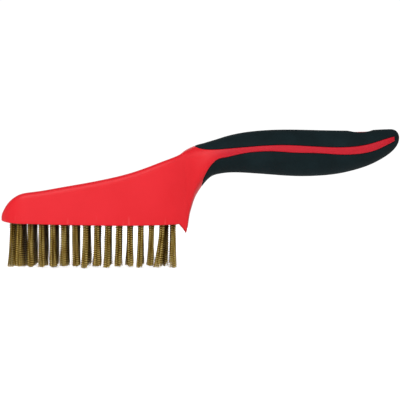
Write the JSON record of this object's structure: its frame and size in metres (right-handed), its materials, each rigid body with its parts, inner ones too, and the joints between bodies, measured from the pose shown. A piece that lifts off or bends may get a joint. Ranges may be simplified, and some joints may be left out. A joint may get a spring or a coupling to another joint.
{
  "type": "wire brush",
  "caption": "Hand wire brush: tall moulded plastic head with crimped brass wire tufts underneath, a hooked heel, and a raised curved handle with a soft two-colour grip.",
  "frame": {"origin": "middle of the brush's length and width, at the level of the wire tips", "axes": "+X from the toe to the tail of the handle, +Y across the brush, +Z from the wire tips up to the handle"},
  "size_m": [0.29, 0.035, 0.1011],
  "materials": {
    "red_plastic": "moulded polypropylene, satin gloss",
    "block_plastic": "moulded polypropylene, drilled",
    "soft_rubber": "moulded thermoplastic elastomer, fine matt texture",
    "brass_wire": "crimped brass-coloured wire, dull"
  },
  "bodies": {
    "root": {"body": "red_plastic", "soft_grip": "soft_rubber", "tuft_block": "block_plastic", "tuft_row1_01": "brass_wire", "tuft_row1_02": "brass_wire", "tuft_row1_03": "brass_wire", "tuft_row1_04": "brass_wire", "tuft_row1_05": "brass_wire", "tuft_row1_06": "brass_wire", "tuft_row1_07": "brass_wire", "tuft_row1_08": "brass_wire", "tuft_row1_09": "brass_wire", "tuft_row1_10": "brass_wire", "tuft_row1_11": "brass_wire", "tuft_row1_12": "brass_wire", "tuft_row1_13": "brass_wire", "tuft_row1_14": "brass_wire", "tuft_row1_15": "brass_wire", "tuft_row2_03": "brass_wire", "tuft_row2_04": "brass_wire", "tuft_row2_05": "brass_wire", "tuft_row2_06": "brass_wire", "tuft_row2_07": "brass_wire", "tuft_row2_08": "brass_wire", "tuft_row2_09": "brass_wire", "tuft_row2_10": "brass_wire", "tuft_row2_11": "brass_wire", "tuft_row2_12": "brass_wire", "tuft_row2_13": "brass_wire", "tuft_row2_14": "brass_wire", "tuft_row3_03": "brass_wire", "tuft_row3_04": "brass_wire", "tuft_row3_05": "brass_wire", "tuft_row3_06": "brass_wire", "tuft_row3_07": "brass_wire", "tuft_row3_08": "brass_wire", "tuft_row3_09": "brass_wire", "tuft_row3_10": "brass_wire", "tuft_row3_11": "brass_wire", "tuft_row3_12": "brass_wire", "tuft_row3_13": "brass_wire", "tuft_row3_14": "brass_wire", "tuft_row4_01": "brass_wire", "tuft_row4_02": "brass_wire", "tuft_row4_03": "brass_wire", "tuft_row4_04": "brass_wire", "tuft_row4_05": "brass_wire", "tuft_row4_06": "brass_wire", "tuft_row4_07": "brass_wire", "tuft_row4_08": "brass_wire", "tuft_row4_09": "brass_wire", "tuft_row4_10": "brass_wire", "tuft_row4_11": "brass_wire", "tuft_row4_12": "brass_wire", "tuft_row4_13": "brass_wire", "tuft_row4_14": "brass_wire", "tuft_row4_15": "brass_wire", "tuft_toe_1": "brass_wire", "tuft_toe_2": "brass_wire"}
  },
  "joints": []
}
